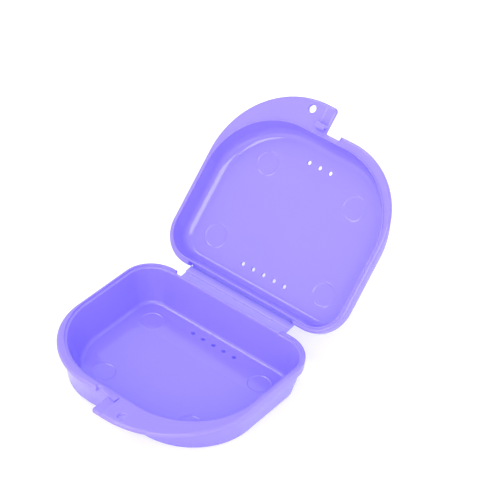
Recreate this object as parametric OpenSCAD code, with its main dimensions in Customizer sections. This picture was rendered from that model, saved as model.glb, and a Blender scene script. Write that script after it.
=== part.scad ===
// Denture case: a shallow two-part box in one colour, its halves joined along the
// back by a strap that bends at two thin film hinges. It stands on its base with
// the lid swung open. Units are millimetres. X runs along the hinge line, +Y points
// to the hinge, +Z up, and the origin is the middle of the underside of the base.
//
// Both halves share one outline. Each is modelled in its own flat frame, with X
// along the hinge, +Y from the hinge to the latch, and its rim plane at Z = 0 with
// the cavity below. The base is that frame turned half a turn about Z, the lid is
// that frame tipped up about the hinge line.

/* [Cavity] */
// Inside width of each half at its rim, along the hinge line
cavity_w = 74.4; // [66:0.2:84]
// Inside length of each half at its rim, from the hinge side to the latch side
cavity_l = 60.8; // [54:0.2:70]
// Corner radius of the cavity on the hinge side
back_corner_r = 10.3; // [7:0.1:13]
// Corner radius of the cavity on the latch side
front_corner_r = 27.4; // [18:0.2:32]
// Radius between the inner walls and the floor of the base
base_fillet_r = 1.2; // [0.8:0.1:4]
// Height of the rounding between the inner walls and the floor of the lid
lid_fillet_r = 3.5; // [1:0.1:4]
// Width of that rounding on the hinge side, where it is narrower
lid_back_fillet = 1.8; // [0.8:0.1:4]
// Radius between the outer walls and the outer face of the floor
foot_edge_r = 1.2; // [0.6:0.1:2.4]
// Lean of the side walls
side_draft = 13.5; // [4:0.5:18]
// Lean of the wall on the latch side
front_draft = 21; // [4:0.5:26]
// Lean of the base's wall on the hinge side
base_back_draft = 6; // [3:0.5:18]
// Lean of the lid's wall on the hinge side
lid_back_draft = 13.5; // [4:0.5:18]

/* [Base half] */
// Height of the base from its underside to its rim
base_h = 16.7; // [13:0.1:24]
// Thickness of the base floor
base_floor_t = 1.8; // [1:0.1:2.4]
// Thickness of the base wall at the floor
base_wall = 1.8; // [1:0.1:2.4]
// How far the edge of the base cavity lies below the rim plane
base_seat_depth = 0.7; // [0.6:0.1:1.2]
// Distance of the back row of vents from the hinge side of the base cavity
base_vent_back = 6.9; // [6:0.1:12]
// Distance of the front row of vents from the latch side of the base cavity
base_vent_front = 10.4; // [10:0.1:16]

/* [Lid half] */
// Height of the lid from its outer face to its rim
lid_h = 9.4; // [8.5:0.1:16]
// Thickness of the lid floor
lid_floor_t = 1.2; // [0.8:0.1:1.8]
// Thickness of the lid wall at the floor
lid_wall = 1.2; // [0.8:0.1:1.8]
// How far the lip round the lid cavity stands above the rim plane
lip_h = 0.5; // [0.2:0.1:0.5]
// Clearance between the outside of the lip and the rim of the base round it
lip_clear = 0.3; // [0.2:0.05:0.4]
// Distance of the back row of vents from the hinge side of the lid cavity
lid_vent_back = 7.5; // [6:0.1:12]
// Distance of the front row of vents from the latch side of the lid cavity
lid_vent_front = 9.8; // [8:0.1:16]

/* [Rim] */
// Thickness of the wall inside the rim
collar_t = 0.8; // [0.7:0.1:1.2]
// How far the rim reaches out from the cavity edge at the sides and the front
rim_reach = 1.8; // [1.6:0.1:3]
// How far the rim reaches out from the cavity edge on the hinge side
rim_back_reach = 2.2; // [2:0.1:3]
// Height of the rim band
rim_h = 4; // [3:0.1:5]
// Thickness of the flange and of the thumb tab
flange_t = 1.7; // [1.2:0.1:2.4]
// How far the flange beside the thumb tab reaches out from the cavity edge
flange_reach = 3.4; // [2.6:0.1:5]
// Outer corner radius of that flange
flange_corner_r = 28; // [20:0.5:30]

/* [Thumb tab] */
// How far the thumb tab reaches out from the cavity edge
tab_reach = 11.6; // [8:0.1:16]
// Length of the straight edge between the end of the thumb tab and its sweep
tab_straight_l = 4.5; // [3.5:0.5:12]
// Distance of the end of the thumb tab from the middle of the case
tab_end = 0.5; // [0.3:0.1:2]
// Radius of the outer corner at the end of the thumb tab
tab_tip_r = 1.5; // [0.5:0.1:3]
// Width of the gap between the thumb tab and the flange
notch_w = 6; // [5.4:0.1:9]
// Length of the sunk step at the end of the thumb tab
tab_step_l = 4; // [2:0.1:6]
// Depth of that step
tab_step_depth = 0.3; // [0.2:0.05:0.6]
// Diameter of the hole through the thumb tab
tab_hole_d = 3; // [2:0.1:4]
// Distance of that hole from the end of the thumb tab
tab_hole_inset = 9.2; // [7.5:0.1:14]
// Distance of that hole from the outer edge of the thumb tab
tab_hole_edge = 3.9; // [3:0.1:6]

/* [Latch] */
// Length of the hook on the lid
hook_l = 4.2; // [3:0.1:4.6]
// Thickness of the neck of the hook
hook_neck_t = 1.2; // [0.8:0.1:2]
// Thickness of the nose of the hook
hook_nose_t = 0.8; // [0.5:0.1:1.2]
// How far the nose of the hook reaches back from its neck
hook_nose_l = 1; // [0.5:0.1:1.3]
// Clearance round the hook when the case is shut
hook_clear = 0.3; // [0.2:0.05:0.4]
// Thickness of the ledge that the hook catches under
ledge_t = 0.9; // [0.6:0.1:1.2]
// How far the ledge stands out at its narrow end
ledge_narrow = 0.5; // [0.3:0.1:0.9]
// How far the ledge stands out at its wide end
ledge_wide = 2.2; // [1.2:0.1:2.6]
// How far the ledge runs over the thumb tab
ledge_over_tab = 2.7; // [1:0.1:3.4]
// Gap between the narrow end of the ledge and the flange
ledge_end_gap = 1.1; // [0.5:0.1:2]

/* [Vents] */
// Diameter of the vents
vent_d = 1.6; // [1:0.1:2.4]
// Spacing of the vents in a row
vent_pitch = 4.7; // [3.5:0.1:6]
// Number of vents in the row near the hinge
vent_back_n = 5; // [1:2:9]
// Number of vents in the row near the latch
vent_front_n = 3; // [1:2:7]

/* [Hinge] */
// Length of the strap along the hinge line
strap_w = 47; // [30:0.2:50]
// Place of the middle of the strap along the hinge line
strap_x = -1.3; // [-3:0.1:3]
// Thickness of the strap
strap_t = 1.2; // [0.8:0.1:1.3]
// Width of the thin part of the strap beside the base
strap_thin_l = 3.9; // [1:0.1:5]
// Thickness of that thin part
strap_thin_t = 0.5; // [0.4:0.05:0.6]
// Thickness of the film hinges
film_t = 0.4; // [0.3:0.05:0.6]
// Depth of each bending line below the rim plane of its half
film_drop = 3.95; // [3.4:0.05:4.4]
// Clearance between a bending line and the strap
strap_end_clear = 0.3; // [0.2:0.05:0.6]
// Clearance between each end of the strap and the rims
strap_side_clear = 0.3; // [0.3:0.1:1]
// Gap that is left between the rims when the case is shut
shut_gap = 0.3; // [0.2:0.05:0.6]
// Slope of the strap as the case stands open, up from level
strap_open_angle = 6; // [0:0.5:20]
// Slope of the lid as the case stands open, up from level
lid_open_angle = 48.2; // [30:0.1:60]

/* [Hidden] */

body_colour = "#a898ff";
rim_colour = "#b2a3ff";
hinge_colour = "#beb2f6";

// Steps in each corner of an outline, and in each rounded edge of a wall
corner_steps = 12;
edge_steps = 5;
round_steps = 48;
vent_steps = 24;
// Depth to which cutters pass through what they cut
through = 1;

// How far the wall inside the rim runs straight on below the rim band
collar_below = 1.2;
collar_h = rim_h + collar_below;
// Rounding of the cavity edge
cavity_edge_r = 0.3;
// How far short of the back of the rim the shelf under the film hinge stops
shelf_short = 0.45;
shelf_reach = rim_back_reach - shelf_short;

cavity_half = cavity_w / 2;
rim_half = cavity_half + rim_reach;
tab_front = cavity_l + tab_reach;
rim_front = cavity_l + rim_reach;
notch_end = notch_w - tab_end;
// The sweep runs from the side of the case to the straight edge of the thumb tab.
tab_sweep_r = rim_half - tab_end - tab_straight_l;

// The strap is as long as the two bending lines are apart when the case is shut.
strap_span = 2 * film_drop + shut_gap;
film_back = rim_back_reach;
strap_gap_w = strap_w + 2 * strap_side_clear;
strap_start = film_t / 2 + strap_end_clear;

// The hook starts just inside the end of the tab, and stands clear of the widest
// part of the ledge that it passes.
hook_end_gap = 0.4;
hook_end_x = -tab_end - hook_end_gap;
ledge_start_x = notch_end - ledge_end_gap;
ledge_end_x = -tab_end - ledge_over_tab;
ledge_slope = (ledge_wide - ledge_narrow) / (ledge_start_x - ledge_end_x);
ledge_at_hook = ledge_narrow + ledge_slope * (ledge_start_x + hook_end_x);
hook_neck_back = rim_front + ledge_at_hook + hook_clear;
hook_h = shut_gap + ledge_t + hook_clear + hook_nose_t;

// ---- Outlines ---------------------------------------------------------------

function unit(v) = v / norm(v);

// Points of the arc that rounds the corner at b, between the sides from a and to c
function corner(a, b, c, r, steps) =
    let (
        back = unit(a - b),
        ahead = unit(c - b),
        half = acos(back * ahead) / 2,
        centre = b + unit(back + ahead) * r / sin(half),
        first = b + back * r / tan(half) - centre,
        side = sign(cross(first, b - centre)),
        from = atan2(first[1], first[0]),
        turn = side * (180 - 2 * half)
    )
    [for (k = [0 : steps]) centre + r * [cos(from + turn * k / steps), sin(from + turn * k / steps)]];

// A polygon with each corner rounded to its own radius
function rounded(points, radii, steps) =
    let (n = len(points))
    [for (i = [0 : n - 1])
        each (radii[i] > 0
            ? corner(points[(i + n - 1) % n], points[i], points[(i + 1) % n], radii[i], steps)
            : [points[i]])];

// The outline of a half: insets are measured inward from the cavity edge at the rim
function half_outline(side, front, back) =
    let (
        x = cavity_half - side,
        y0 = back,
        y1 = cavity_l - front,
        r_back = back_corner_r - (side + back) / 2,
        r_front = front_corner_r - side
    )
    rounded([[-x, y0], [x, y0], [x, y1], [-x, y1]], [r_back, r_back, r_front, r_front], corner_steps);

function at_height(outline, z) = [for (p = outline) [p[0], p[1], z]];

// Section of the outer wall at a height below the rim, drawn in by a further inset
function outer_section(z, inset, back_draft) =
    let (fall = max(0, -z - collar_h))
    at_height(half_outline(
        fall * tan(side_draft) - collar_t + inset,
        fall * tan(front_draft) - collar_t + inset,
        fall * tan(back_draft) - collar_t + inset), z);

// Section of the inner wall: it runs straight from the rim to the foot of the wall.
// It is drawn in further by one inset at the sides and front, and one at the back.
function inner_section(z, inset, back_inset, h, floor_t, wall, back_draft) =
    let (
        depth = h - floor_t,
        fall = h - collar_h,
        share = min(1, max(0, -z / depth))
    )
    at_height(half_outline(
        share * (fall * tan(side_draft) - collar_t + wall) + inset,
        share * (fall * tan(front_draft) - collar_t + wall) + inset,
        share * (fall * tan(back_draft) - collar_t + wall) + back_inset), z);

// A solid skinned over a list of rings with equal numbers of points
module skin(rings) {
    n = len(rings[0]);
    m = len(rings);
    points = [for (ring = rings) each ring];
    sides = [
        for (j = [0 : m - 2], i = [0 : n - 1])
            each [
                [j * n + i, (j + 1) * n + i, (j + 1) * n + (i + 1) % n],
                [j * n + i, (j + 1) * n + (i + 1) % n, j * n + (i + 1) % n]
            ]
    ];
    first = [for (i = [0 : n - 1]) i];
    last = [for (i = [n - 1 : -1 : 0]) (m - 1) * n + i];
    polyhedron(points = points, faces = concat([first], sides, [last]), convexity = 6);
}

// ---- Parts of one half, in its flat frame ---------------------------------------

// Walls and floor. top is the height of the cavity edge over the rim plane, and
// lip is the thickness of the wall there. The rounding along the floor is as high as
// fillet, and as wide too except on the hinge side.
module tub(h, floor_t, wall, top, lip, fillet, back_fillet, back_draft) {
    outside = [
        for (k = [0 : edge_steps])
            let (a = 90 * k / edge_steps)
            outer_section(-h + foot_edge_r * (1 - cos(a)), foot_edge_r * (1 - sin(a)), back_draft)
    ];
    collar = [outer_section(-collar_h, 0, back_draft), outer_section(min(top, 0), 0, back_draft)];
    // A raised lip is thinner than the collar, and its foot is a flat step.
    raised = top > 0
        ? [outer_section(0, collar_t - lip, back_draft), outer_section(top, collar_t - lip, back_draft)]
        : [];
    inside = [
        for (k = [0 : edge_steps])
            let (
                a = 90 * k / edge_steps,
                inset = -cavity_edge_r * (1 - sin(a))
            )
            inner_section(top - cavity_edge_r * (1 - cos(a)), inset, inset,
                h, floor_t, wall, back_draft)
    ];
    floor_rings = [
        for (k = [0 : edge_steps])
            let (a = 90 * k / edge_steps)
            inner_section(-h + floor_t + fillet * (1 - sin(a)),
                fillet * (1 - cos(a)), back_fillet * (1 - cos(a)), h, floor_t, wall, back_draft)
    ];
    skin(concat(outside, collar, raised, inside, floor_rings));
}

// One row of vents through the floor
module vent_row(count, y, h, floor_t) {
    for (i = [0 : count - 1])
        translate([(i - (count - 1) / 2) * vent_pitch, y, -h - through])
            cylinder(d = vent_d, h = floor_t + 2 * through, $fn = vent_steps);
}

// One row of vents near the hinge and one near the latch
module vents(h, floor_t, vent_back, vent_front) {
    vent_row(vent_back_n, vent_back, h, floor_t);
    vent_row(vent_front_n, cavity_l - vent_front, h, floor_t);
}

// Outline of the band round a half
function band_outline() =
    rounded(
        [[-rim_half, -rim_back_reach], [rim_half, -rim_back_reach],
         [rim_half, rim_front], [-rim_half, rim_front]],
        [back_corner_r + rim_reach, back_corner_r + rim_reach,
         front_corner_r + rim_reach, front_corner_r + rim_reach],
        corner_steps);

// Outline of the flange on the side away from the thumb tab
function flange_outline() =
    rounded(
        [[rim_half, cavity_l / 2], [rim_half, cavity_l + flange_reach],
         [notch_end, cavity_l + flange_reach], [notch_end, cavity_l / 2]],
        [0, flange_corner_r, 0, 0],
        corner_steps);

// Outline of the thumb tab, which runs on into the band
function tab_outline() =
    rounded(
        [[-rim_half, cavity_l / 2], [-rim_half, tab_front],
         [-tab_end, tab_front], [-tab_end, cavity_l / 2]],
        [0, tab_sweep_r, tab_tip_r, 0],
        corner_steps);

// The rim band with its flange, open behind for the strap, with the shelf under it
// that carries the film hinge
module rim(strap_middle) {
    difference() {
        union() {
            translate([0, 0, -rim_h])
                linear_extrude(rim_h)
                    polygon(band_outline());
            translate([0, 0, -flange_t])
                linear_extrude(flange_t)
                    polygon(flange_outline());
            translate([strap_middle - strap_gap_w / 2 - strap_t, -shelf_reach, -collar_h])
                cube([strap_gap_w + 2 * strap_t, shelf_reach, collar_h - rim_h + film_t]);
        }
        translate([0, 0, -collar_h - through])
            linear_extrude(collar_h + 2 * through)
                polygon(half_outline(-collar_t, -collar_t, -collar_t));
        translate([strap_middle - strap_gap_w / 2, -rim_back_reach - through, -film_drop - film_t / 2])
            cube([strap_gap_w, rim_back_reach - collar_t + through, film_drop + film_t + through]);
    }
}

// The thumb tab, with its hole and the sunk step at its end; the pocket is where
// the foot of the hook stands on the lid's tab
module thumb_tab(pocket) {
    difference() {
        translate([0, 0, -flange_t])
            linear_extrude(flange_t)
                difference() {
                    polygon(tab_outline());
                    polygon(band_outline());
                }
        translate([-tab_end - tab_step_l, rim_front - through, -tab_step_depth])
            cube([tab_step_l + through, tab_reach + 2 * through, tab_step_depth + through]);
        if (pocket)
            translate([hook_end_x - hook_l, hook_neck_back, -tab_step_depth])
                cube([hook_l, hook_neck_t, tab_step_depth + through]);
        translate([-tab_end - tab_hole_inset, tab_front - tab_hole_edge, -flange_t - through])
            cylinder(d = tab_hole_d, h = flange_t + 2 * through, $fn = round_steps);
    }
}

// The wedge-shaped ledge on the front of the rim, thinner where it runs over the tab
module latch_ledge() {
    front_at = function (x) rim_front + ledge_narrow + ledge_slope * (ledge_start_x - x);
    translate([0, 0, -ledge_t])
        linear_extrude(ledge_t)
            polygon([
                [-tab_end, rim_front], [ledge_start_x, rim_front],
                [ledge_start_x, front_at(ledge_start_x)], [-tab_end, front_at(-tab_end)]
            ]);
    translate([0, 0, -tab_step_depth])
        linear_extrude(tab_step_depth)
            polygon([
                [ledge_end_x, rim_front], [-tab_end, rim_front],
                [-tab_end, front_at(-tab_end)], [ledge_end_x, front_at(ledge_end_x)]
            ]);
}

// The hook: a neck that stands on the tab and a nose that points back to the rim
module latch_hook() {
    translate([hook_end_x, hook_neck_back, -tab_step_depth])
        rotate([0, -90, 0])
            linear_extrude(hook_l)
                polygon([
                    [0, 0], [0, hook_neck_t],
                    [tab_step_depth + hook_h, hook_neck_t],
                    [tab_step_depth + hook_h, -hook_nose_l / 2],
                    [tab_step_depth + hook_h - hook_nose_t / 2, -hook_nose_l],
                    [tab_step_depth + hook_h - hook_nose_t, -hook_nose_l],
                    [tab_step_depth + hook_h - hook_nose_t, 0]
                ]);
}

// The film hinge: a thin web on the shelf, rounded about its bending line
module film_hinge(strap_middle) {
    translate([strap_middle - strap_w / 2, -film_back, -film_drop]) {
        rotate([0, 90, 0])
            cylinder(d = film_t, h = strap_w, $fn = vent_steps);
        translate([0, 0, -film_t / 2])
            cube([strap_w, film_back - collar_t, film_t]);
    }
}

// ---- Places of the two halves and the strap ------------------------------------

// The base is turned so that its latch side faces -Y.
module place_base() {
    translate([0, cavity_l / 2, base_h])
        rotate([0, 0, 180])
            children();
}

// The frame of the strap: origin on the base's bending line, +Y to the lid's
module place_strap() {
    translate([0, cavity_l / 2 + film_back, base_h - film_drop])
        rotate([strap_open_angle, 0, 0])
            children();
}

module place_lid() {
    place_strap()
        translate([0, strap_span, 0])
            rotate([lid_open_angle - strap_open_angle, 0, 0])
                translate([0, film_back, film_drop])
                    children();
}

// ---- The nodes ----------------------------------------------------------------

module base_tub() {
    color(body_colour)
        place_base()
            difference() {
                tub(base_h, base_floor_t, base_wall, -base_seat_depth, collar_t,
                    base_fillet_r, base_fillet_r, base_back_draft);
                vents(base_h, base_floor_t, base_vent_back, base_vent_front);
            }
}

module base_rim() {
    color(rim_colour)
        place_base()
            rim(-strap_x);
}

module base_thumb_tab() {
    color(rim_colour)
        place_base()
            thumb_tab(false);
}

module base_latch_ledge() {
    color(rim_colour)
        place_base()
            latch_ledge();
}

module base_film_hinge() {
    color(hinge_colour)
        place_base()
            film_hinge(-strap_x);
}

// The strap is thinner beside the base, and its outer face is flush with the films.
module hinge_strap() {
    color(hinge_colour)
        place_strap()
            translate([strap_x - strap_w / 2, 0, -film_t / 2]) {
                translate([0, strap_start, 0])
                    cube([strap_w, strap_thin_l, strap_thin_t]);
                translate([0, strap_start + strap_thin_l, 0])
                    cube([strap_w, strap_span - 2 * strap_start - strap_thin_l, strap_t]);
            }
}

module lid_film_hinge() {
    color(hinge_colour)
        place_lid()
            film_hinge(strap_x);
}

module lid_tub() {
    color(body_colour)
        place_lid()
            difference() {
                tub(lid_h, lid_floor_t, lid_wall, lip_h, collar_t - lip_clear,
                    lid_fillet_r, lid_back_fillet, lid_back_draft);
                vents(lid_h, lid_floor_t, lid_vent_back, lid_vent_front);
            }
}

module lid_rim() {
    color(rim_colour)
        place_lid()
            rim(strap_x);
}

module lid_thumb_tab() {
    color(rim_colour)
        place_lid()
            thumb_tab(true);
}

module lid_latch_hook() {
    color(rim_colour)
        place_lid()
            latch_hook();
}

base_tub();
base_rim();
base_thumb_tab();
base_latch_ledge();
base_film_hinge();
hinge_strap();
lid_film_hinge();
lid_tub();
lid_rim();
lid_thumb_tab();
lid_latch_hook();
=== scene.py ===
"""Looks of the denture case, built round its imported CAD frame.

The case is one injection moulding in polypropylene: a shallow base and a lid on a
strap that bends at two thin film hinges. Each half is one closed skin, a section
carried along the outline of its cavity, with the rim, the flange and the thumb tab
in the same section. Sizes are in millimetres in each half's own flat frame: x along
the hinge, v from the hinge to the latch, and the height over the rim plane.
"""

import logging
import math
from dataclasses import dataclass, field
from enum import Enum

import bmesh
import bpy
import numpy as np
from mathutils import Matrix, Vector
from mathutils.geometry import tessellate_polygon

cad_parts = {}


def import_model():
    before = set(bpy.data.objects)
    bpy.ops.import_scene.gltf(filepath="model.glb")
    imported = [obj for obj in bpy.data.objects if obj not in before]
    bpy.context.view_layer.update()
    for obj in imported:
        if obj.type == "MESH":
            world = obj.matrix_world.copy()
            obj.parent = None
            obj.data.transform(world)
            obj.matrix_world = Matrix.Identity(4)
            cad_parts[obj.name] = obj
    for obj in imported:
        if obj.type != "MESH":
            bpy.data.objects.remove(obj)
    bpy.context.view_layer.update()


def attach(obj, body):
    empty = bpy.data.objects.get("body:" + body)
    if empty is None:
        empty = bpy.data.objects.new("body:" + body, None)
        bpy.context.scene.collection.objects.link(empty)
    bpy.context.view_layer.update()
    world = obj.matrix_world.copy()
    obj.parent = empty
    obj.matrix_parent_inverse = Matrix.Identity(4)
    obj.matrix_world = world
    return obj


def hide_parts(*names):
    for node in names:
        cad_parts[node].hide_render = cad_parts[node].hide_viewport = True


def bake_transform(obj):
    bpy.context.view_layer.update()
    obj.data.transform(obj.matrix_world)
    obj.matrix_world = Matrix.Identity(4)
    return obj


Point = tuple[float, float]

LOG = logging.getLogger("denture_case")
MM = 0.001
IN_METRES = Matrix.Scale(MM, 4)
# Turns an outline in y and z with its height across it, so that it is carried along x.
ALONG_X = Matrix(((0, 0, 1, 0), (1, 0, 0, 0), (0, 1, 0, 0), (0, 0, 0, 1)))
# Points closer than this many millimetres are one point.
MERGE = 0.0015
WHITE = (1, 1, 1, 1)
# Width of the flat strip beside a rounding, which keeps the shading of the flat true.
STRIP = 0.05


# ---- Numbers and outlines ----


def linear(hex_colour: str) -> tuple[float, float, float, float]:
    """Turns an sRGB hex colour into linear values.

    Args:
        hex_colour: Six hex digits, with or without a leading hash.

    Returns:
        Linear red, green, blue and an alpha of 1.
    """
    digits = hex_colour.lstrip("#")
    srgb = [int(digits[i : i + 2], 16) / 255 for i in (0, 2, 4)]
    red, green, blue = (
        c / 12.92 if c <= 0.04045 else ((c + 0.055) / 1.055) ** 2.4 for c in srgb
    )
    return red, green, blue, 1.0


def smooth(value: np.ndarray, low: float, high: float) -> np.ndarray:
    """Eases from 0 at low to 1 at high, level at both ends.

    Args:
        value: Where to read the curve.
        low: Value where it leaves 0.
        high: Value where it reaches 1.

    Returns:
        The eased share, 3t squared minus 2t cubed.
    """
    t = np.clip((np.asarray(value, float) - low) / (high - low), 0, 1)
    return t * t * (3 - 2 * t)


def arc(
    centre: Point, radius: float, start: float, end: float, count: int
) -> np.ndarray:
    """Points on an arc, shape (count, 2), at evenly spaced angles given in degrees."""
    a = np.radians(np.linspace(start, end, count))
    return pairs(centre[0] + radius * np.cos(a), centre[1] + radius * np.sin(a))


def line(a: Point, b: Point, count: int) -> np.ndarray:
    """Evenly spaced points from a to b, both among them, as an array (count, 2)."""
    return np.linspace(a, b, count)


def pairs(x: float | np.ndarray, y: float | np.ndarray) -> np.ndarray:
    """Points from their x and y, one of which may be the same for all of them."""
    return np.column_stack(np.broadcast_arrays(x, y))


def raised(xy: np.ndarray, z: float | np.ndarray) -> np.ndarray:
    """Points of shape (n, 3): an outline at one height, or at one for each point."""
    return np.column_stack([xy, np.broadcast_to(z, len(xy))])


def quarter(count: int) -> np.ndarray:
    """A rounding of radius 1: 1 - sin a and 1 - cos a for a from 0 to 90 degrees.

    Args:
        count: Number of points, both ends among them.

    Returns:
        For each point, how far it still is from the line ahead, and how far it has
        left the line behind, shape (count, 2).
    """
    a = np.radians(np.linspace(0, 90, count))
    return pairs(1 - np.sin(a), 1 - np.cos(a))


def along(path: np.ndarray, count: int) -> np.ndarray:
    """Places points at equal steps of length along a path.

    Args:
        path: Points of the path, shape (n, 2).
        count: Number of points to place, both ends among them.

    Returns:
        Array of shape (count, 2).
    """
    step = np.linalg.norm(np.diff(path, axis=0), axis=1)
    length = np.concatenate([[0], np.cumsum(step)])
    at = np.linspace(0, length[-1], count)
    return pairs(*(np.interp(at, length, part) for part in path.T))


def outward(loop: np.ndarray) -> np.ndarray:
    """Unit normals that point out of a closed loop of points which runs anticlockwise.

    Args:
        loop: Points, shape (n, 2).

    Returns:
        Array of the same shape: each point's chord between its neighbours, turned
        a quarter turn to the right.
    """
    chord = np.roll(loop, -1, axis=0) - np.roll(loop, 1, axis=0)
    normal = pairs(chord[:, 1], -chord[:, 0])
    return normal / np.linalg.norm(normal, axis=1)[:, None]


def rounded(points: list, radii: list, steps: int) -> np.ndarray:
    """A polygon with each corner rounded to its own radius.

    A point beyond each end of an arc keeps the shading of the straight sides true.

    Args:
        points: Corners in anticlockwise order.
        radii: One radius for each corner, above 0.
        steps: Points on each corner's arc.

    Returns:
        Points of the rounded outline, shape (n, 2).
    """
    corners = np.array(points, float)
    pieces = []
    for i, radius in enumerate(radii):
        b = corners[i]
        back = corners[i - 1] - b
        ahead = corners[(i + 1) % len(corners)] - b
        back, ahead = back / np.linalg.norm(back), ahead / np.linalg.norm(ahead)
        half = math.acos(float(np.clip(back @ ahead, -1, 1))) / 2
        middle = (back + ahead) / np.linalg.norm(back + ahead)
        centre = b + middle * radius / math.sin(half)
        first = b + back * radius / math.tan(half) - centre
        side = math.copysign(1, first[0] * (b - centre)[1] - first[1] * (b - centre)[0])
        start = math.degrees(math.atan2(first[1], first[0]))
        turn = side * (180 - 2 * math.degrees(half))
        bend = arc(tuple(centre), radius, start, start + turn, steps)
        pieces += [[bend[0] + back * STRIP], bend, [bend[-1] + ahead * STRIP]]
    return np.concatenate(pieces)


# ---- Meshes ----


def new_object(name: str, data: bpy.types.ID) -> bpy.types.Object:
    """Makes an object and links it to the scene."""
    made = bpy.data.objects.new(name, data)
    bpy.context.scene.collection.objects.link(made)
    return made


@dataclass
class Surface:
    """Collects points and faces in millimetres, and turns them into one closed mesh."""

    blocks: list = field(default_factory=list)
    faces: list = field(default_factory=list)

    def grid(self, rows: np.ndarray, skip: np.ndarray | None = None) -> np.ndarray:
        """Adds rows of points that each run round a closed loop, joined by quads.

        Args:
            rows: Points, shape (rows, columns, 3).
            skip: True for quads to leave out, shape (rows - 1, columns).

        Returns:
            The number of each vertex, shape (rows, columns).
        """
        tall, wide = rows.shape[:2]
        first = sum(len(block) for block in self.blocks)
        self.blocks.append(rows.reshape(-1, 3))
        index = first + np.arange(tall * wide).reshape(tall, wide)
        ahead = np.roll(index, -1, axis=1)
        quads = np.stack([index[:-1], ahead[:-1], ahead[1:], index[1:]], axis=-1)
        keep = np.ones(quads.shape[:2], bool) if skip is None else ~skip
        self.faces.extend(quads[keep].tolist())
        return index

    def disc(self, centre: Point, profile: list, count: int) -> np.ndarray:
        """Adds a ring round an upright axis for each radius and height of a profile.

        Returns:
            The number of each vertex, shape (rings, count).
        """
        rings = [raised(arc(centre, r, 0, 360, count + 1)[:-1], z) for r, z in profile]
        return self.grid(np.array(rings))

    def fill(self, loops: list) -> None:
        """Fills the flat area between an outer loop and its holes with triangles.

        Args:
            loops: Arrays of vertex numbers, the outer loop first.
        """
        points = np.concatenate(self.blocks)
        numbers = np.concatenate(loops).tolist()
        shape = [[Vector(points[i]) for i in loop] for loop in loops]
        self.faces.extend(
            [numbers[k] for k in triangle] for triangle in tessellate_polygon(shape)
        )

    def build(self, name: str, place: Matrix, flat_over: float) -> bpy.types.Object:
        """Makes the mesh object, with its place in its mesh.

        Args:
            name: Name of the piece.
            place: Turns this surface's millimetres into metres of the case's frame.
            flat_over: Edges sharper than this, in degrees, are shaded as edges.

        Returns:
            The object, at the origin.
        """
        mesh = bpy.data.meshes.new(name)
        mesh.from_pydata(np.concatenate(self.blocks).tolist(), [], self.faces)
        work = bmesh.new()
        work.from_mesh(mesh)
        bmesh.ops.remove_doubles(work, verts=work.verts, dist=MERGE)
        bmesh.ops.dissolve_degenerate(work, edges=work.edges, dist=MERGE)
        bmesh.ops.recalc_face_normals(work, faces=work.faces)
        bmesh.ops.transform(work, matrix=place, verts=work.verts)
        work.to_mesh(mesh)
        work.free()
        mesh.shade_smooth()
        mesh.set_sharp_from_angle(angle=math.radians(flat_over))
        return new_object(name, mesh)


def slab(
    outline: np.ndarray, low: float, high: float, edge: float, steps: int = 5
) -> Surface:
    """A plate of any outline with rounded edges.

    Args:
        outline: Points in anticlockwise order, shape (n, 2).
        low: Height of the lower face.
        high: Height of the upper face.
        edge: Radius of the rounding of both faces' edges.
        steps: Points on each rounding.

    Returns:
        The closed surface, in the outline's plane and the height across it.
    """
    inwards, upwards = edge * quarter(steps).T
    inset = np.concatenate([[edge + STRIP], inwards])
    rise = np.concatenate([[0], upwards])
    rings = zip([*inset, *inset[::-1]], [*(low + rise), *(high - rise)[::-1]])
    normal = outward(outline)
    surface = Surface()
    index = surface.grid(np.array([raised(outline - normal * i, z) for i, z in rings]))
    surface.fill([index[0]])
    surface.fill([index[-1]])
    return surface


# ---- Materials ----


def empty_tree(owner: bpy.types.Material | bpy.types.World) -> bpy.types.NodeTree:
    """Switches a material or a world to nodes, and returns its tree without any."""
    owner.use_nodes = True
    owner.node_tree.nodes.clear()
    return owner.node_tree


def add_node(
    tree: bpy.types.NodeTree, kind: str, inputs: dict | None = None, **settings: object
) -> bpy.types.Node:
    """Adds a shader node with its settings, its values and its links.

    Args:
        tree: The material's or world's node tree.
        kind: Type of the node, without ShaderNode in front.
        inputs: By name or number of the input, a value, an output socket to link, or
            a node whose first output is linked.
        settings: Properties of the node itself.

    Returns:
        The node.
    """
    node = tree.nodes.new("ShaderNode" + kind)
    for name, value in settings.items():
        setattr(node, name, value)
    for name, value in (inputs or {}).items():
        source = value.outputs[0] if isinstance(value, bpy.types.Node) else value
        if isinstance(source, bpy.types.NodeSocket):
            tree.links.new(source, node.inputs[name])
        else:
            node.inputs[name].default_value = source
    return node


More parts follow.
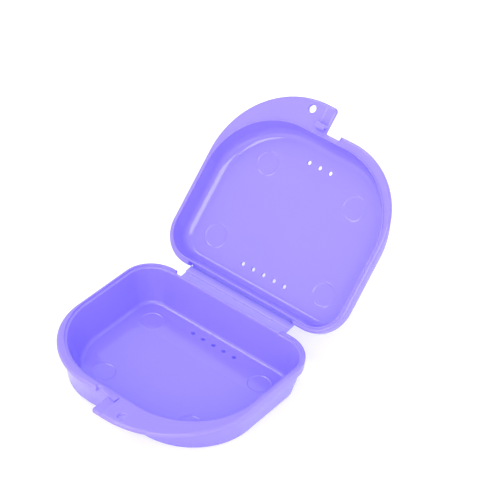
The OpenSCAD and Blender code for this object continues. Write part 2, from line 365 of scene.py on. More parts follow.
@dataclass(frozen=True)
class MouldedPolypropylene:
    """Glossy polypropylene as it leaves a polished mould.

    It looks soft and slightly deep, because light enters it a little way, and its
    gloss has a faint unevenness where the melt cooled last.
    """

    name: str
    colour: str
    tint: str
    roughness: float
    # Flow clouds in the colour, about this many millimetres wide
    cloud_mm: float = 14.0
    # Shrink waves of a moulded wall, in millimetres across and high
    wave_mm: float = 7.0
    wave_height_mm: float = 0.006
    # Grain of the polished mould, coarser than the real one, so that it shows
    grain_mm: float = 0.35
    grain_height_mm: float = 0.0008
    ior: float = 1.58
    # Share of the light that enters, and how deep
    depth_share: float = 0.12
    depth_mm: float = 0.9

    def make(self) -> bpy.types.Material:
        """Builds the node material.

        Returns:
            The material, which reads Object coordinates only.
        """
        material = bpy.data.materials.new(self.name)
        tree = empty_tree(material)
        place = add_node(tree, "TexCoord").outputs["Object"]

        def noise(width_mm: float, detail: float, rough: float) -> bpy.types.Node:
            """Noise whose features are about as wide as the given millimetres."""
            values = {"Vector": place, "Scale": 1 / (width_mm * MM), "Detail": detail}
            return add_node(tree, "TexNoise", {**values, "Roughness": rough})

        def bump(height: bpy.types.Node, rise: float, **more: object) -> bpy.types.Node:
            """Bumps that rise by the given millimetres."""
            values = {"Height": height, "Strength": 1.0, "Distance": rise * MM}
            return add_node(tree, "Bump", {**values, **more})

        cloud = noise(self.cloud_mm, 2.0, 0.5)
        colours = {6: linear(self.colour), 7: linear(self.tint)}
        mixed = add_node(tree, "Mix", {0: cloud, **colours}, data_type="RGBA")
        uneven = noise(self.wave_mm, 3.0, 0.55)
        gloss = {"Value": uneven, "From Min": 0.3, "From Max": 0.7}
        gloss |= {"To Min": self.roughness - 0.02, "To Max": self.roughness + 0.03}
        wave = bump(noise(self.wave_mm, 1.0, 0.4), self.wave_height_mm)
        grain = noise(self.grain_mm, 2.0, 0.6)
        shader = {
            "Base Color": mixed.outputs[2],
            "Roughness": add_node(tree, "MapRange", gloss),
            "IOR": self.ior,
            "Normal": bump(grain, self.grain_height_mm, Normal=wave),
            "Subsurface Weight": self.depth_share,
            "Subsurface Radius": (0.8, 0.7, 1.0),
            "Subsurface Scale": self.depth_mm * MM,
        }
        principled = add_node(tree, "BsdfPrincipled", shader)
        add_node(tree, "OutputMaterial", {"Surface": principled})
        return material


CASE_PLASTIC = MouldedPolypropylene(
    "moulded_polypropylene_periwinkle", colour="#8E7EF6", tint="#9080F7", roughness=0.07
)
# The strap and the films are the same plastic as the case, painted lighter: painted
# light, standing in for the light that shines through the thin strap.
HINGE_PLASTIC_PAINTED_LIGHTER = MouldedPolypropylene(
    "moulded_polypropylene_hinge_painted_lighter", colour="#A79AF2", tint="#A99CF3", roughness=0.2
)


# ---- One half of the case ----


class Half(Enum):
    """The two halves, which share one outline."""

    BASE = "base"
    LID = "lid"


@dataclass
class Shell:
    """One half: cavity, rim, flange and thumb tab as a single moulded skin."""

    half: Half
    height: float
    floor: float
    wall: float
    # From the hinge side to the five vents, and from the latch side to the three
    vents: tuple
    strap_middle: float
    fillet: float
    back_fillet: float
    back_draft: float

    half_width: float = 37.2
    length: float = 60.8
    back_corner: float = 10.3
    front_corner: float = 27.4
    foot_edge: float = 1.2
    foot_swell: float = 0.0
    side_draft: float = 13.5
    front_draft: float = 21.0
    collar: float = 0.8
    collar_height: float = 5.2
    rim_reach: float = 1.8
    rim_back_reach: float = 2.2
    rim_height: float = 4.0
    seat_depth: float = 0.7
    lip_height: float = 0.5
    lip_width: float = 0.5
    flange_thick: float = 1.7
    flange_reach: float = 3.4
    flange_corner: float = 28.0
    tab_reach: float = 11.6
    tab_sweep: float = 34.0
    tab_end: float = 0.5
    tab_tip: float = 1.5
    notch_end: float = 5.5
    step_length: float = 4.0
    step_depth: float = 0.3
    gap_half: float = 23.8
    film_top: float = -3.75
    shelf_reach: float = 1.75
    hole_radius: float = 1.5
    hole_inset: float = 9.2
    hole_edge: float = 3.9
    hole_window: float = 4.6
    vent_radius: float = 0.8
    vent_pitch: float = 4.7
    mark_radius: float = 4.4
    mark_places: tuple = ((24.5, 11.75), (19.45, 43.8))
    # Each ring of an ejector mark: its radius past the mark's own, and its height
    mark_rings: tuple = (0.4, 0.3, 0.12, -0.02, -0.16, -0.34, -0.5, -0.6)
    mark_heights: tuple = (0.0, 0.015, 0.09, 0.11, 0.07, -0.06, -0.08, -0.08)
    # Roundings of the moulding's edges
    cavity_edge: float = 0.45
    rim_edge: float = 0.75
    under_edge: float = 0.3
    small_edge: float = 0.14
    hole_rounding: float = 0.4
    vent_rounding: float = 0.1
    # Where the outer wall starts under the sections of the rim
    wall_start: float = -5.6
    # Counts of points on the corners, the sides and the roundings
    back_steps: int = 20
    front_steps: int = 56
    side_steps: int = 14
    edge_steps: int = 6

    def __post_init__(self) -> None:
        """Places the columns of the skin along the hinge side and the front."""
        start = self.strap_middle - self.gap_half
        end = self.strap_middle + self.gap_half
        # Each end of the gap behind the strap has room for one or two columns beside it
        left = [-25.9, -25.6] if start > -24 else [-25.9]
        right = [25.6, 25.9] if end < 24 else [25.9]
        turn = np.linspace(-0.32, 0.32, 9)
        middle = np.linspace(start + 0.9, end - 0.9, 34)
        self.back_x = np.concatenate([left, start + turn, middle, end + turn, right])
        self.side_share = np.linspace(0, 1, self.side_steps + 2)[1:-1]
        self.columns = self.front_columns()

    # -- Outlines --

    def front_columns(self) -> dict[str, np.ndarray]:
        """Columns across the front, from the flange over the notch to the thumb tab.

        Returns:
            For each column, x on the cavity's edge under "x", and its point on the
            outer edge under "edge".
        """
        front = self.length + self.rim_reach
        flange = self.length + self.flange_reach
        tab = self.length + self.tab_reach
        outer, inner, tip = 0.4, 0.5, self.tab_tip
        end, root = self.notch_end, -self.tab_end
        step_x = root - self.step_length
        # Along the notch: first and last x on the cavity's edge, and the points on the
        # outer edge. The notch's sides are straight above low.
        low, high, foot = front + 0.7, tab - 1.8, front + inner
        spans = [
            (6.6, 6.2, arc((end + outer, flange - outer), outer, 90, 180, 5)),
            (6.15, 6.1, line((end, flange - 0.65), (end, low), 2)),
            (6.05, 5.0, arc((end - inner, foot), inner, 0, -90, 5)),
            (4.4, root + 1.1, line((4.4, front), (root + 1.1, front), 5)),
            (root + 0.5, root - 0.6, arc((root + inner, foot), inner, 270, 180, 5)),
            (root - 0.7, root - 1.9, line((root, low), (root, high), 9)),
            (root - 2.0, root - 2.8, arc((root - tip, tab - tip), tip, 0, 90, 9)),
        ]
        beside = np.array([8.6, 7.6, 6.9])
        ramp = np.linspace(step_x + 0.3, step_x - 0.3, 7)
        over = np.concatenate([ramp, [-5.6, -7.2, -8.6]])
        beyond = np.concatenate([[root - 2.0, root - 2.6], over])
        x, y = self.sweep_centre
        sweep = y + np.sqrt(self.tab_sweep**2 - np.minimum(beyond - x, 0) ** 2)
        xs = [np.linspace(a, b, len(points)) for a, b, points in spans]
        xs = [beside, *xs, [root - 2.9, root - 3.1], over]
        edges = [pairs(beside, flange), *(s[2] for s in spans), pairs(beyond, sweep)]
        return {"x": np.concatenate(xs), "edge": np.concatenate(edges)}

    @property
    def front_centre(self) -> Point:
        """Middle of the corner beside the flange."""
        return self.half_width - self.front_corner, self.length - self.front_corner

    @property
    def sweep_centre(self) -> Point:
        """Middle of the arc along the thumb tab."""
        rim = self.half_width + self.rim_reach
        return self.tab_sweep - rim, self.length + self.tab_reach - self.tab_sweep

    def ring(self, side: float, front: float, back: float) -> np.ndarray:
        """The outline of the half, drawn in from the cavity's edge.

        It is a rectangle whose two corners at the hinge have one radius and whose
        two at the latch have another, both less what the sides are drawn in by.

        Args:
            side: Inset of the sides.
            front: Inset of the latch side.
            back: Inset of the hinge side.

        Returns:
            Points, one for each column of the skin, anticlockwise.
        """
        x = self.half_width - side
        y0, y1 = back, self.length - front
        rb = self.back_corner - (side + back) / 2
        rf = self.front_corner - side
        up = y0 + rb + (y1 - rf - y0 - rb) * self.side_share
        nb, nf = self.back_steps, self.front_steps
        parts = [
            pairs(self.back_x, y0),
            arc((x - rb, y0 + rb), rb, -90, 0, nb),
            pairs(x, up),
            arc((x - rf, y1 - rf), rf, 0, 90, nf),
            pairs(self.columns["x"], y1),
            arc((rf - x, y1 - rf), rf, 90, 180, nf),
            pairs(-x, up[::-1]),
            arc((rb - x, y0 + rb), rb, 180, 270, nb),
        ]
        return np.concatenate(parts)

    def reach(self, distance: float) -> np.ndarray:
        """The outline at an even distance out from the cavity's edge."""
        return self.ring(-distance, -distance, -distance)

    def outer_edge(self, band: np.ndarray) -> np.ndarray:
        """The outer edge of the rim plane: band, flange, notch and thumb tab.

        Args:
            band: Outline of the rim band.

        Returns:
            Points, one for each column, anticlockwise.
        """
        edge = band.copy()
        rim = self.half_width + self.rim_reach
        flange = self.length + self.flange_reach
        near, low = self.front_centre
        r = self.flange_corner
        right = [
            line((rim, low), (rim, flange - r), 8),
            arc((rim - r, flange - r), r, 0, 90, 90)[1:],
            line((rim - r, flange), (near, flange), 3)[1:],
        ]
        x, y = self.sweep_centre
        start = math.degrees(math.acos((-near - x) / self.tab_sweep))
        sweep = arc((x, y), self.tab_sweep, start, 180, 110)
        left = [sweep, line((-rim, y), (-rim, low), 8)[1:]]
        ends = [along(np.concatenate(path), self.front_steps) for path in (right, left)]
        front = np.concatenate([ends[0], self.columns["edge"], ends[1]])
        i = len(self.back_x) + self.back_steps + len(self.side_share)
        edge[i : i + len(front)] = front
        return edge

    # -- Sections --

    def lean(self, fall: float, more: float) -> list[float]:
        """How far the sides, the front and the back are drawn in over a fall."""
        drafts = self.side_draft, self.front_draft, self.back_draft
        return [fall * math.tan(math.radians(d)) - self.collar + more for d in drafts]

    def inner(self, z: float, inset: float, back: float | None = None) -> np.ndarray:
        """The inner wall's outline: it leans evenly from the rim plane to the floor.

        Args:
            z: Height over the rim plane.
            inset: How far it is drawn in further.
            back: The same on the hinge side, where that differs.

        Returns:
            Points, one for each column.
        """
        share = min(1.0, max(0.0, -z / (self.height - self.floor)))
        leaned = self.lean(self.height - self.collar_height, self.wall)
        *sides, rear = (share * inwards for inwards in leaned)
        return self.ring(*(s + inset for s in sides), rear + (back or inset))

    def outer(self, z: float, inset: float) -> np.ndarray:
        """The outer wall's outline: upright below the rim, then leaning inwards.

        At the front corner beside the flange it leans less, by the swell at the foot.
        """
        fall = max(0.0, -z - self.collar_height)
        ring = self.ring(*self.lean(fall, inset))
        turn = np.degrees(np.arctan2(*(ring - self.front_centre).T[::-1]))
        share = fall / (self.height - self.collar_height)
        corner = smooth(turn, 10, 45) * smooth(-turn, -100, -50)
        return ring + outward(ring) * (self.foot_swell * share * corner)[:, None]

    def rows(self) -> tuple[np.ndarray, dict[str, int]]:
        """All rows of the skin, from the floor's edge inside to the foot outside.

        Returns:
            Points, shape (rows, columns, 3), and the numbers of the named rows.
        """
        # Floor and fillet
        foot = -self.height + self.floor
        high, wide_back = self.fillet, self.back_fillet
        rows = [raised(self.inner(foot, high + STRIP, wide_back + STRIP), foot)]
        for i, j in quarter(13):
            z = foot + high * j
            rows.append(raised(self.inner(z, high * i, wide_back * i), z))

        # The rim's sections with and without the band blend at the ends of the gap
        x = self.ring(0, 0, 0)[:, 0]
        gap = smooth(self.gap_half + 0.25 - np.abs(x - self.strap_middle), 0, 0.5)
        gap[len(self.back_x) :] = 0
        gap = gap[:, None]
        closed, marks = self.band_section()
        marks = {key: len(rows) + value for key, value in marks.items()}
        for row, gap_row in zip(closed, self.gap_section(), strict=True):
            rows.append(raised(*row) * (1 - gap) + raised(*gap_row) * gap)

        # Outer wall and foot
        edge = self.foot_edge
        for share in (0.35, 0.7):
            z = self.wall_start + share * (edge - self.height - self.wall_start)
            rows.append(raised(self.outer(z, 0), z))
        for i, j in quarter(8):
            z = -self.height + edge * i
            rows.append(raised(self.outer(z, edge * j), z))
        rows.append(raised(self.outer(-self.height, edge + STRIP), -self.height))
        return np.array(rows), marks

    def wall_top(self, top: float, width: float, height: float) -> list:
        """The upper part of the inner wall, with the rounding of the cavity's edge.

        Args:
            top: Height of the cavity's edge over the rim plane.
            width: How far the rounding reaches out.
            height: How far it reaches down.

        Returns:
            Pairs of outline and height.
        """
        foot = -self.height + self.floor + self.fillet
        out = []
        for share in (0.33, 0.67):
            z = foot * (1 - share) + (top - height) * share
            out.append((self.inner(z, 0), z))
        for i, j in quarter(self.edge_steps):
            z = top - height * i
            out.append((self.inner(z, -width * j), z))
        return out

    def band_section(self) -> tuple[list, dict[str, int]]:
        """The section where the rim band is whole.

        Returns:
            Pairs of outline and height from the inner wall to the outer wall, and the
            numbers of the named ones.
        """
        base = self.half is Half.BASE
        top = -self.seat_depth if base else self.lip_height
        out = self.wall_top(top, self.cavity_edge, self.cavity_edge)
        bend, tight = quarter(self.edge_steps), quarter(4)
        small, under, thick = self.small_edge, self.under_edge, self.flange_thick
        band = self.ring(-self.rim_reach, -self.rim_reach, -self.rim_back_reach)
        edge = self.outer_edge(band)
        over = np.linalg.norm(edge - band, axis=1)
        hang = smooth(over, 0.0, 0.8)[:, None]
        past = smooth(over, 0.9, 1.6)[:, None]
        away = (edge - band) / np.maximum(over, 1e-9)[:, None]
        step_x = -self.tab_end - self.step_length
        stepped = smooth(edge[:, 0], step_x - 0.25, step_x + 0.25)
        beside_tab = edge[:, 0] > 0.5 - self.tab_end
        stepped[beside_tab | (edge[:, 1] < self.length + 1.2)] = 0
        lower = -self.step_depth * stepped * past[:, 0]

        # Seat of the base or lip of the lid, with its small step to the rim plane
        side, first, up = (self.collar, 0.52, 1) if base else (self.lip_width, 0.34, -1)
        out.append((self.reach(first), top))
        out += [(self.reach(side - small * i), top + up * small * j) for i, j in tight]
        out += [(self.reach(side + small * j), -up * small * i) for i, j in tight]
        start = self.reach(side + small + STRIP)
        out.append((start, 0.0))

        # Rim plane, with the step in the thumb tab beyond the line of the band
        r, inwards = self.rim_edge, -outward(edge)
        end = edge + inwards * (r + STRIP)
        middle = (start + end) / 2
        for offset, level in ((-0.02, 0.0), (0.06, lower)):
            on_band = band + away * offset
            between = middle + (end - start) * offset
            out.append((between * (1 - past) + on_band * past, level))
        named = {"plate_in": len(out) - 1, "plate_out": len(out)}
        out.append((end, lower))
        out += [(edge + inwards * r * i, lower - r * j) for i, j in bend]

        # Edge and underside of the flange and the thumb tab
        inset, gone = under + STRIP, 1 - hang[:, 0]
        out += [(edge + inwards * under * j * hang, under * i - thick) for i, j in bend]
        named["under_out"] = len(out)
        out.append((edge + inwards * inset * hang, -thick - 0.02 * gone))
        named["under_in"] = len(out)
        out.append((band + away * inset * hang, -thick - 0.05 * gone))
        low = -thick - 0.08 * gone
        out += [(band + away * under * i * hang, low - under * j) for i, j in bend]

        # Band down to its underside, then in to the wall
        inwards, bottom = -outward(band), -self.rim_height
        out += [(band + inwards * under * j, bottom + under * i) for i, j in bend]
        out.append((band + inwards * inset, bottom))
        out.append((self.reach(self.collar + 0.25), bottom))
        out += [(self.reach(self.collar + 0.2 * i), bottom - 0.2 * j) for i, j in tight]
        out += [(self.outer(z, 0), z) for z in np.linspace(-4.35, self.wall_start, 12)]
        return out, named

    def gap_section(self) -> list:
        """The section behind the strap, where the band gives way to the hinge shelf.

        Returns:
            Pairs of outline and height, as many as in the whole section.
        """
        bend, tight = quarter(self.edge_steps), quarter(4)
        collar, shelf, low = self.collar, self.shelf_reach, -self.collar_height
        if self.half is Half.BASE:
            # The seat is filled up here to just under the shut lid's lip, with a wide
            # rounding into the cavity.
            level = -0.25
            out = self.wall_top(level, 0.4, 1.3)
            rest = [(r, level) for r in np.linspace(0.45, 0.5, 12)]
        else:
            level = 0.0
            small, lip, top = self.small_edge, self.lip_width, self.lip_height
            out = self.wall_top(top, self.cavity_edge, self.cavity_edge)
            rest = [(0.34, top)]
            rest += [(lip - small * i, top - small * j) for i, j in tight]
            rest += [(lip, 0.2), (lip, 0.15), (lip, 0.1), (lip + 0.01, 0.03)]
            rest += [(lip + 0.03, 0.0), (lip + 0.035, 0.0), (lip + 0.04, 0.0)]
        edge, corner = 0.25, 0.2
        rest.append((collar - edge, level))
        rest += [(collar - edge * i, level - edge * j) for i, j in bend]
        # Upright face of the collar, the shelf and its outer edge, and back to the wall
        rest += [(collar, z) for z in np.linspace(-1.1, -3.3, 2 * len(bend) + 2)]
        rest += [(collar + corner * j, self.film_top + corner * i) for i, j in bend]
        rest += [(collar + 0.3, self.film_top), (shelf - 0.25, self.film_top)]
        rest += [(shelf - corner * i, self.film_top - corner * j) for i, j in tight]
        rest += [(shelf, -4.4), (shelf, low + 0.3)]
        rest += [(shelf - edge * j, low + edge * i) for i, j in tight]
        rest += [(shelf - 0.35, low), (collar + 0.25, low)]
        rest += [(collar + 0.06, low - 0.06), (collar, low - 0.2)]
        rest += [(collar, low - 0.3), (collar - 0.06, self.wall_start)]
        return out + [(self.reach(r), z) for r, z in rest]

    # -- Whole skin --

    def skin(self) -> Surface:
        """The closed skin of the half.

        Returns:
            The surface, in the half's flat frame.
        """
        rows, named = self.rows()
        surface = Surface()
        hole_x = -self.tab_end - self.hole_inset
        hole_v = self.length + self.tab_reach - self.hole_edge
        edge_x, edge_v = rows[named["plate_out"], :, :2].T
        beside = np.abs(edge_x - hole_x) < self.hole_window
        beside &= edge_v > self.length + self.flange_reach + 0.6
        first, last = np.flatnonzero(beside)[[0, -1]]
        skip = np.zeros((rows.shape[0] - 1, rows.shape[1]), bool)
        skip[[named["plate_in"], named["under_out"]], first:last] = True
        index = surface.grid(rows, skip)

        # The hole through the thumb tab
        r, e = self.hole_radius, self.hole_rounding
        top = [(r + e + STRIP, 0.0), *((r + e * i, -e * j) for i, j in quarter(5))]
        low = [(r, -self.flange_thick - z) for r, z in top[::-1]]
        hole = surface.disc((hole_x, hole_v), top + low, 40)
        for inner, outer, ring in (
            ("plate_in", "plate_out", hole[0]),
            ("under_in", "under_out", hole[-1]),
        ):
            near_side = index[named[inner], first : last + 1]
            far_side = index[named[outer], first : last + 1]
            surface.fill([np.concatenate([near_side, far_side[::-1]]), ring])

        # Vents through the floor, and the round marks of the ejector pins
        floor, under = -self.height + self.floor, -self.height
        inside, outside = [index[0]], [index[-1]]
        r, e = self.vent_radius, self.vent_rounding
        lip = [(r + e + 0.03, 0.0), (r + e, 0.0), (r + 0.3 * e, 0.3 * e), (r, e)]
        vent = [(r, floor - z) for r, z in lip] + [(r, under + z) for r, z in lip[::-1]]
        for count, v in ((5, self.vents[0]), (3, self.length - self.vents[1])):
            for k in range(count):
                x = (k - (count - 1) / 2) * self.vent_pitch
                rings = surface.disc((x, v), vent, 24)
                inside.append(rings[0])
                outside.append(rings[-1])
        rings = zip(self.mark_rings, self.mark_heights, strict=True)
        mark = [(self.mark_radius + r, floor + z) for r, z in rings]
        for x, v in self.mark_places:
            for side_x in (x, -x):
                rings = surface.disc((side_x, v), mark, 64)
                inside.append(rings[0])
                surface.fill([rings[-1]])
        surface.fill(inside)
        surface.fill(outside)
        return surface


# ---- Small pieces ----


@dataclass
class Latch:
    """The wedge-shaped ledge on the base, and the lid's hook that snaps under it."""

    front: float = 62.6
    tab_end: float = 0.5
    ledge_start: float = 4.4
    ledge_end: float = -3.2
    narrow: float = 0.5
    wide: float = 2.2
    ledge_thick: float = 0.9
    over_tab_thick: float = 0.5
    ledge_rise: float = 0.25
    hook_end: float = -0.9
    hook_length: float = 4.2
    neck: float = 1.2
    nose: float = 0.8
    nose_reach: float = 1.0
    step_depth: float = 0.3
    shut_gap: float = 0.3
    clearance: float = 0.3

    def reach_at(self, x: float) -> float:
        """How far the ledge stands out at x."""
        share = (self.ledge_start - x) / (self.ledge_start - self.ledge_end)
        return self.narrow + share * (self.wide - self.narrow)

    def ledge(self) -> list[Surface]:
        """The ledge: its part beside the tab and its thinner part over the tab.

        Returns:
            Both surfaces, in the base's flat frame.
        """
        back = self.front - 0.5
        parts = []
        for x0, x1, thick in (
            (self.ledge_start, -self.tab_end, self.ledge_thick),
            (-self.tab_end + 0.6, self.ledge_end, self.over_tab_thick + 0.1),
        ):
            v0, v1 = (self.front + self.reach_at(x) for x in (x0, x1))
            corners = [(x0, back), (x0, v0), (x1, v1), (x1, back)]
            outline = rounded(corners, [0.15, 0.25, 0.25, 0.15], 5)
            parts.append(slab(outline, -thick, self.ledge_rise, 0.2))
        return parts

    def hook(self) -> Surface:
        """The hook: a neck on the tab with a nose that points back to the rim.

        Returns:
            The surface, its outline in height and v, and carried along x.
        """
        back = self.front + self.reach_at(-self.hook_end) + self.clearance
        top = self.shut_gap + self.ledge_thick + self.clearance + self.nose
        foot, neck = -self.step_depth - 0.1, back + self.neck
        points = [
            (back, foot),
            (neck, foot),
            (neck, top),
            (back - self.nose_reach / 2, top),
            (back - self.nose_reach, top - self.nose / 2),
            (back - self.nose_reach, top - self.nose),
            (back, top - self.nose),
        ]
        outline = rounded(points, [0.05, 0.05, 0.3, 0.25, 0.1, 0.1, 0.2], 6)
        return slab(outline, self.hook_end - self.hook_length, self.hook_end, 0.18)


@dataclass
class Hinge:
    """The strap and the two film hinges, in the plane across the hinge line."""

    film_y: float = 32.6
    film_z: float = 12.75
    span: float = 8.2
    slope: float = 6.0
    lid_slope: float = 48.2
    thick: float = 1.2
    thin: float = 0.5
    thin_length: float = 3.9
    film: float = 0.4
    film_reach: float = 1.1
    middle: float = -1.3
    width: float = 47.0
    bend: float = 0.5

    def along_strap(self, distance: float, rise: float = 0.0) -> np.ndarray:
        """A point on the strap's line, a distance from the base's bending line."""
        a = math.radians(self.slope)
        y = self.film_y + distance * math.cos(a) - rise * math.sin(a)
        return np.array([y, self.film_z + distance * math.sin(a) + rise * math.cos(a)])

    def strap(self) -> Surface:
        """The strap: a plate, thinner beside the base.

        Returns:
            The surface, its outline in y and z, and carried along x.
        """
        low = -self.film / 2
        start, knee, end = 0.42, 0.5 + self.thin_length, self.span - 0.42
        high, step = low + self.thick, low + self.thin
        points = [(start, low), (end, low), (end, high)]
        points += [(knee, high), (knee, step), (start, step)]
        outline = rounded(points, [0.12, 0.12, 0.3, 0.35, 0.25, 0.12], 7)
        turned = np.array([self.along_strap(a, b) for a, b in outline])
        half = self.width / 2
        return slab(turned, self.middle - half, self.middle + half, 0.28)

    def film_strip(self, axis: np.ndarray, before: float, after: float) -> Surface:
        """A film that bends about its line: a thin band along a smoothly turning path.

        The path's direction eases from one angle to the other over the bend, and it
        is shifted so that both straight ends run through the bending line.

        Args:
            axis: y and z of the bending line.
            before: Angle of the strip before the line, in degrees.
            after: Angle beyond it.

        Returns:
            The surface, its outline in y and z, and carried along x.
        """
        s = np.linspace(-self.film_reach, self.film_reach, 40)
        angle = np.radians(before + (after - before) * smooth(s, -self.bend, self.bend))
        way = pairs(np.cos(angle), np.sin(angle))
        middle = (way[1:] + way[:-1]) / 2 * np.diff(s)[:, None]
        path = np.concatenate([[[0.0, 0.0]], np.cumsum(middle, axis=0)])
        path += axis - way[0] * self.film_reach
        off, (x0, y0), (x1, y1) = path[-1] - axis, way[0], way[-1]
        path -= way[0] * (off[0] * y1 - off[1] * x1) / (x0 * y1 - y0 * x1)
        side = pairs(-way[:, 1], way[:, 0]) * (self.film / 2 - 0.02)
        outline = np.concatenate([path - side, (path + side)[::-1]])
        half = self.width / 2 - 0.12
        return slab(outline, self.middle - half, self.middle + half, 0.05, 3)


# ---- The case ----


@dataclass
class DentureCase:
    """Builds and dresses every piece of the case."""

    base_height: float = 16.7
    length: float = 60.8
    latch: Latch = field(default_factory=Latch)
    hinge: Hinge = field(default_factory=Hinge)
    plastic: bpy.types.Material = field(default_factory=CASE_PLASTIC.make)
    # The hinge's material carries painted light: a lighter copy of the case's plastic.
    hinge_plastic: bpy.types.Material = field(default_factory=HINGE_PLASTIC_PAINTED_LIGHTER.make)

    def base_place(self) -> Matrix:
        """From the base's flat frame to the case's frame: half a turn about Z."""
        move = Matrix.Translation((0, self.length / 2, self.base_height))
        return IN_METRES @ move @ Matrix.Rotation(math.pi, 4, "Z")

    def lid_place(self) -> Matrix:
        """From the lid's flat frame to the case's frame: tipped up about the hinge.

        Its bending line lies as far out and down from its rim as the base's.
        """
        hinge = self.hinge
        out, drop = hinge.film_y - self.length / 2, self.base_height - hinge.film_z
        move = Matrix.Translation((0, *hinge.along_strap(hinge.span)))
        tip = Matrix.Rotation(math.radians(hinge.lid_slope), 4, "X")
        return IN_METRES @ move @ tip @ Matrix.Translation((0, out, drop))

    def finish(
        self, piece: bpy.types.Object, material: bpy.types.Material, nodes: tuple
    ) -> bpy.types.Object:
        """Dresses a piece and the CAD nodes that it stands for.

        Args:
            piece: The piece.
            material: Its material.
            nodes: CAD nodes that it replaces.

        Returns:
            The same piece.
        """
        piece.data.materials.append(material)
        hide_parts(*nodes)
        LOG.info("%s: %d faces", piece.name, len(piece.data.polygons))
        return piece

    def build(self) -> None:
        """Builds all pieces and lets all but the two films ride on their bodies."""
        self.build_base()
        self.build_strap()
        self.build_lid()

    def build_base(self) -> None:
        """The base's moulding with its latch ledge."""
        shell = Shell(
            Half.BASE,
            height=self.base_height,
            floor=1.8,
            wall=1.8,
            vents=(6.9, 10.4),
            strap_middle=1.3,
            fillet=1.2,
            back_fillet=1.2,
            back_draft=6.0,
            tab_end=-0.6,
            hole_inset=10.3,
            step_depth=0.5,
            foot_swell=2.4,
        )
        piece = shell.skin().build("base_moulding", self.base_place(), 42)
        nodes = ("base_tub", "base_rim", "base_thumb_tab")
        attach(self.finish(piece, self.plastic, nodes), "base")
        names = ("base_latch_ledge_side", "base_latch_ledge_over_tab")
        for surface, name in zip(self.latch.ledge(), names, strict=True):
            piece = surface.build(name, self.base_place(), 50)
            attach(self.finish(piece, self.plastic, ("base_latch_ledge",)), "base")

    def build_lid(self) -> None:
        """The lid's moulding with its hook."""
        shell = Shell(
            Half.LID,
            height=9.4,
            floor=1.2,
            wall=1.2,
            vents=(7.5, 9.8),
            strap_middle=-1.3,
            fillet=3.5,
            back_fillet=1.8,
            back_draft=13.5,
            cavity_edge=0.32,
        )
        piece = shell.skin().build("lid_moulding", self.lid_place(), 42)
        nodes = ("lid_tub", "lid_rim", "lid_thumb_tab")
        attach(self.finish(piece, self.plastic, nodes), "lid")
        place = self.lid_place() @ ALONG_X
        piece = self.latch.hook().build("lid_latch_hook_skin", place, 50)
        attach(self.finish(piece, self.plastic, ("lid_latch_hook",)), "lid")

    def build_strap(self) -> None:
        """The strap and its two film hinges, each film a strip bent once about its
        line.
        """
        hinge, place = self.hinge, IN_METRES @ ALONG_X
        piece = hinge.strap().build("hinge_strap_plate", place, 50)
        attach(self.finish(piece, self.hinge_plastic, ("hinge_strap",)), "strap")
        base_line, lid_line = hinge.along_strap(0), hinge.along_strap(hinge.span)
        films = (
            ("base_film", base_line, 0.0, hinge.slope, "base", "strap"),
            ("lid_film", lid_line, hinge.slope, hinge.lid_slope, "strap", "lid"),
        )
        for name, axis, before, after, a, b in films:
            surface = hinge.film_strip(axis, before, after)
            piece = surface.build(name + "_strip", place, 60)
            self.finish(piece, self.hinge_plastic, (name + "_hinge",))
            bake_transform(piece)


# ---- Studio ----


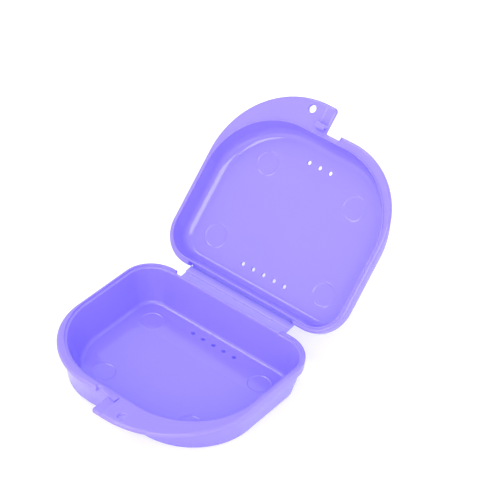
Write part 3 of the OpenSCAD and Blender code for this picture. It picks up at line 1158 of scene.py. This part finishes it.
@dataclass
class Studio:
    """A plain pale floor, soft light and the camera at the photo's viewing angle."""

    camera_mm: tuple = (309.56, -405.29, 473.33)
    azimuth: float = 34.771
    elevation: float = 38.895
    roll: float = 5.430
    lens: float = 142.86
    # Strength of the fill light at the horizon and overhead
    horizon: float = 1.52
    overhead: float = 0.6

    def camera(self) -> None:
        """Creates the camera: it looks back along its azimuth and elevation, rolled."""
        az, el, roll = map(math.radians, (self.azimuth, self.elevation, self.roll))
        flat = math.cos(el)
        back = Vector((math.sin(az) * flat, -math.cos(az) * flat, math.sin(el)))
        right = Vector((0, 0, 1)).cross(back).normalized()
        up = back.cross(right)
        c, s = math.cos(roll), math.sin(roll)
        x, y = right * c + up * s, up * c - right * s
        data = bpy.data.cameras.new("studio_camera")
        data.lens, data.sensor_width = self.lens, 36
        data.clip_start, data.clip_end = 0.05, 20
        camera = new_object("studio_camera", data)
        place = Matrix((x, y, back)).transposed().to_4x4()
        place.translation = Vector(self.camera_mm) * MM
        camera.matrix_world = place
        bpy.context.scene.camera = camera

    @staticmethod
    def softbox(name: str, place: tuple, aim: tuple, size: tuple, power: float) -> None:
        """One soft lamp that stands at place and faces aim, in metres and watts."""
        data = bpy.data.lights.new(name, "AREA")
        data.shape, data.size, data.size_y = "RECTANGLE", *size
        data.energy = power
        lamp = new_object(name, data)
        lamp.location = place
        way = Vector(aim) - Vector(place)
        lamp.rotation_euler = way.to_track_quat("-Z", "Y").to_euler()

    def world(self) -> None:
        """White to the camera and to gloss, and a pale fill to everything else.

        The fill is brightest at the horizon, as in a tent with lit sides.
        """
        world = bpy.data.worlds.new("studio_world")
        bpy.context.scene.world = world
        tree = empty_tree(world)
        path = add_node(tree, "LightPath").outputs
        seen = path["Is Camera Ray"]
        for name in ("Is Glossy Ray", "Is Transmission Ray"):
            seen = add_node(tree, "Math", {0: seen, 1: path[name]}, operation="MAXIMUM")
        way = add_node(tree, "TexCoord").outputs["Generated"]
        height = add_node(tree, "SeparateXYZ", {0: way}).outputs["Z"]
        levels = {"Value": height, "To Min": self.horizon, "To Max": self.overhead}
        strength = add_node(tree, "MapRange", levels)
        fill = {"Color": linear("#F8F8FB"), "Strength": strength}
        fill = add_node(tree, "Background", fill)
        white = add_node(tree, "Background", {"Color": WHITE, "Strength": 1.0})
        mixed = add_node(tree, "MixShader", {0: seen, 1: fill, 2: white})
        add_node(tree, "OutputWorld", {"Surface": mixed})

    @staticmethod
    def floor() -> None:
        """A wide pale floor, white to the camera, which keeps the case's shadow."""
        mesh = bpy.data.meshes.new("studio_floor")
        r = 6.0
        corners = [(-r, -r, 0), (r, -r, 0), (r, r, 0), (-r, r, 0)]
        mesh.from_pydata(corners, [], [(0, 1, 2, 3)])
        floor = new_object("studio_floor", mesh)
        material = bpy.data.materials.new("white_paper_floor")
        tree = empty_tree(material)
        looks = []
        for colour, glow in ((linear("#F2F2F4"), 0.1), ((0.72, 0.72, 0.72, 1), 0.42)):
            paper = add_node(tree, "BsdfDiffuse", {"Color": colour})
            light = add_node(tree, "Emission", {"Color": WHITE, "Strength": glow})
            looks.append(add_node(tree, "AddShader", {0: paper, 1: light}))
        seen = add_node(tree, "LightPath").outputs["Is Camera Ray"]
        mixed = add_node(tree, "MixShader", {0: seen, 1: looks[0], 2: looks[1]})
        add_node(tree, "OutputMaterial", {"Surface": mixed})
        mesh.materials.append(material)

    def build(self) -> None:
        """Builds floor, light and camera, and sets the view transform."""
        bpy.context.scene.view_settings.view_transform = "Standard"
        self.world()
        self.floor()
        aim = (0, 0.03, 0.02)
        self.softbox("front_softbox", (0.6, -0.72, 0.74), aim, (0.8, 0.6), 5.8)
        self.softbox("low_softbox", (-0.15, -1.04, 0.48), aim, (0.42, 0.38), 2.0)
        self.softbox("top_softbox", (-0.4, -0.1, 1.1), aim, (0.5, 0.5), 3.4)
        self.camera()


def main() -> None:
    """Builds the case round its frame, then the studio."""
    logging.basicConfig(level=logging.INFO, format="%(name)s: %(message)s")
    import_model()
    DentureCase().build()
    Studio().build()


if __name__ == "__main__":
    main()
